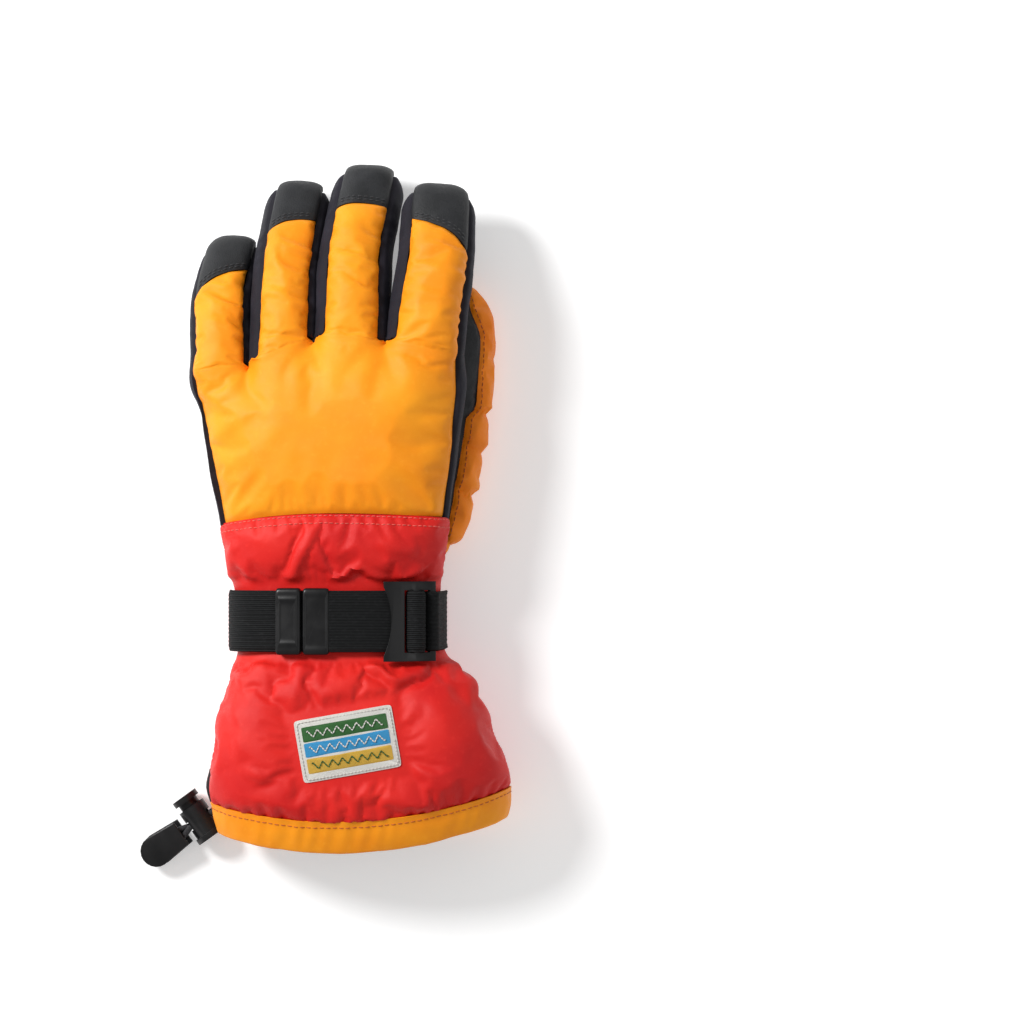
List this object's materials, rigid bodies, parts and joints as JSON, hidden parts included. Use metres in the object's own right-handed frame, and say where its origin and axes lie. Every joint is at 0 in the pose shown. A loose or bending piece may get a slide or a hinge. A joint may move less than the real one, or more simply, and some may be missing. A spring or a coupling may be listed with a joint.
{
  "type": "ski glove",
  "caption": "Left-hand gauntlet ski glove with padded fingers, leather palm, wrist strap with buckle, and flared cuff with drawcord.",
  "frame": {"origin": "on the surface the glove lies on, under the middle of its box without the drawcord and what is on it", "axes": "+Y from the cuff's mouth to the fingertips, +X to the thumb side, +Z to the back of the hand"},
  "size_m": [0.1612, 0.304, 0.0546],
  "materials": {
    "orange_nylon": "woven shell fabric, satin",
    "red_nylon": "woven shell fabric, satin",
    "black_leather": "fine-grained leather",
    "black_softshell": "stretch woven, matte",
    "padding": "fibre wadding",
    "lining": "brushed fleece",
    "elastic": "woven elastic",
    "webbing": "ribbed polyester webbing",
    "plastic": "moulded, fine texture",
    "cord": "braided elastic cord",
    "patch": "embroidered",
    "spring_steel": "bare wire"
  },
  "bodies": {
    "hand": {"hand_back_panel": "orange_nylon", "palm_panel": "black_leather", "radial_side_wall": "black_softshell", "ulnar_side_wall": "black_softshell", "hand_padding": "padding", "hand_lining": "lining", "cuff_back_panel": "red_nylon", "cuff_palm_panel": "red_nylon", "cuff_lining": "lining", "wrist_elastic": "elastic", "cuff_hem": "orange_nylon", "hem_drawcord": "cord", "strap_webbing": "webbing", "buckle_anchor_webbing": "webbing", "cuff_patch": "patch", "drawcord_loop": "cord", "cord_lock_barrel": "plastic", "cord_lock_spring": "spring_steel"},
    "index_finger": {"index_back": "orange_nylon", "index_tip_cap": "black_leather", "index_radial_wall": "black_softshell", "index_ulnar_wall": "black_softshell", "index_palm_side": "black_leather", "index_padding": "padding", "index_lining": "lining"},
    "middle_finger": {"middle_back": "orange_nylon", "middle_tip_cap": "black_leather", "middle_radial_wall": "black_softshell", "middle_ulnar_wall": "black_softshell", "middle_palm_side": "black_leather", "middle_padding": "padding", "middle_lining": "lining"},
    "ring_finger": {"ring_back": "orange_nylon", "ring_tip_cap": "black_leather", "ring_radial_wall": "black_softshell", "ring_ulnar_wall": "black_softshell", "ring_palm_side": "black_leather", "ring_padding": "padding", "ring_lining": "lining"},
    "little_finger": {"little_back": "orange_nylon", "little_tip_cap": "black_leather", "little_radial_wall": "black_softshell", "little_ulnar_wall": "black_softshell", "little_palm_side": "black_leather", "little_padding": "padding", "little_lining": "lining"},
    "thumb": {"thumb_back_panel": "orange_nylon", "thumb_side_panel": "orange_nylon", "thumb_leather": "black_leather", "thumb_padding": "padding", "thumb_lining": "lining"},
    "buckle_frame": {"buckle": "plastic", "strap_fold": "webbing"},
    "strap_end": {"strap_tail": "webbing", "strap_end_clip": "plastic", "strap_end_grip": "plastic"},
    "lock_button": {"cord_lock_button": "plastic"},
    "pull_tab": {"pull_tab_lower": "plastic", "pull_tab_upper": "plastic"}
  },
  "joints": [
    {"name": "index_flex", "type": "hinge", "parent": "hand", "child": "index_finger", "pos_m": [0.03163, 0.07047, 0.03162], "axis": [-0.9978, 0.0663, 0], "range_deg": [0, 12]},
    {"name": "middle_flex", "type": "hinge", "parent": "hand", "child": "middle_finger", "pos_m": [0.00027, 0.07103, 0.02902], "axis": [-0.9978, 0.0663, 0], "range_deg": [0, 42]},
    {"name": "ring_flex", "type": "hinge", "parent": "hand", "child": "ring_finger", "pos_m": [-0.02894, 0.06744, 0.02702], "axis": [-0.9978, 0.0663, 0], "range_deg": [0, 40]},
    {"name": "little_flex", "type": "hinge", "parent": "hand", "child": "little_finger", "pos_m": [-0.05544, 0.05943, 0.02553], "axis": [-0.9978, 0.0663, 0], "range_deg": [0, 40]},
    {"name": "thumb_spread", "type": "hinge", "parent": "hand", "child": "thumb", "pos_m": [0.038, 0.012, 0.0116], "axis": [0, 0, 1], "range_deg": [-30, 0]},
    {"name": "buckle_tilt", "type": "hinge", "parent": "hand", "child": "buckle_frame", "pos_m": [0.03458, -0.048, 0.042], "axis": [0, 1, 0], "range_deg": [0, 35]},
    {"name": "strap_pull", "type": "hinge", "parent": "hand", "child": "strap_end", "pos_m": [-0.0055, -0.048, -0.0714], "axis": [0, 1, 0], "range_deg": [-5.5, 1.5]},
    {"name": "lock_press", "type": "slide", "parent": "hand", "child": "lock_button", "axis": [0.5855, -0.8107, 0], "range_m": [0, 0.0026], "stiffness_N_per_m": 700, "springref_m": -0.001, "deforming": ["cord_lock_spring"]},
    {"name": "tab_swing", "type": "hinge", "parent": "hand", "child": "pull_tab", "pos_m": [-0.0786, -0.14378, 0.00269], "axis": [-0.1408, -0.1017, 0.9848], "range_deg": [-15, 15]}
  ]
}
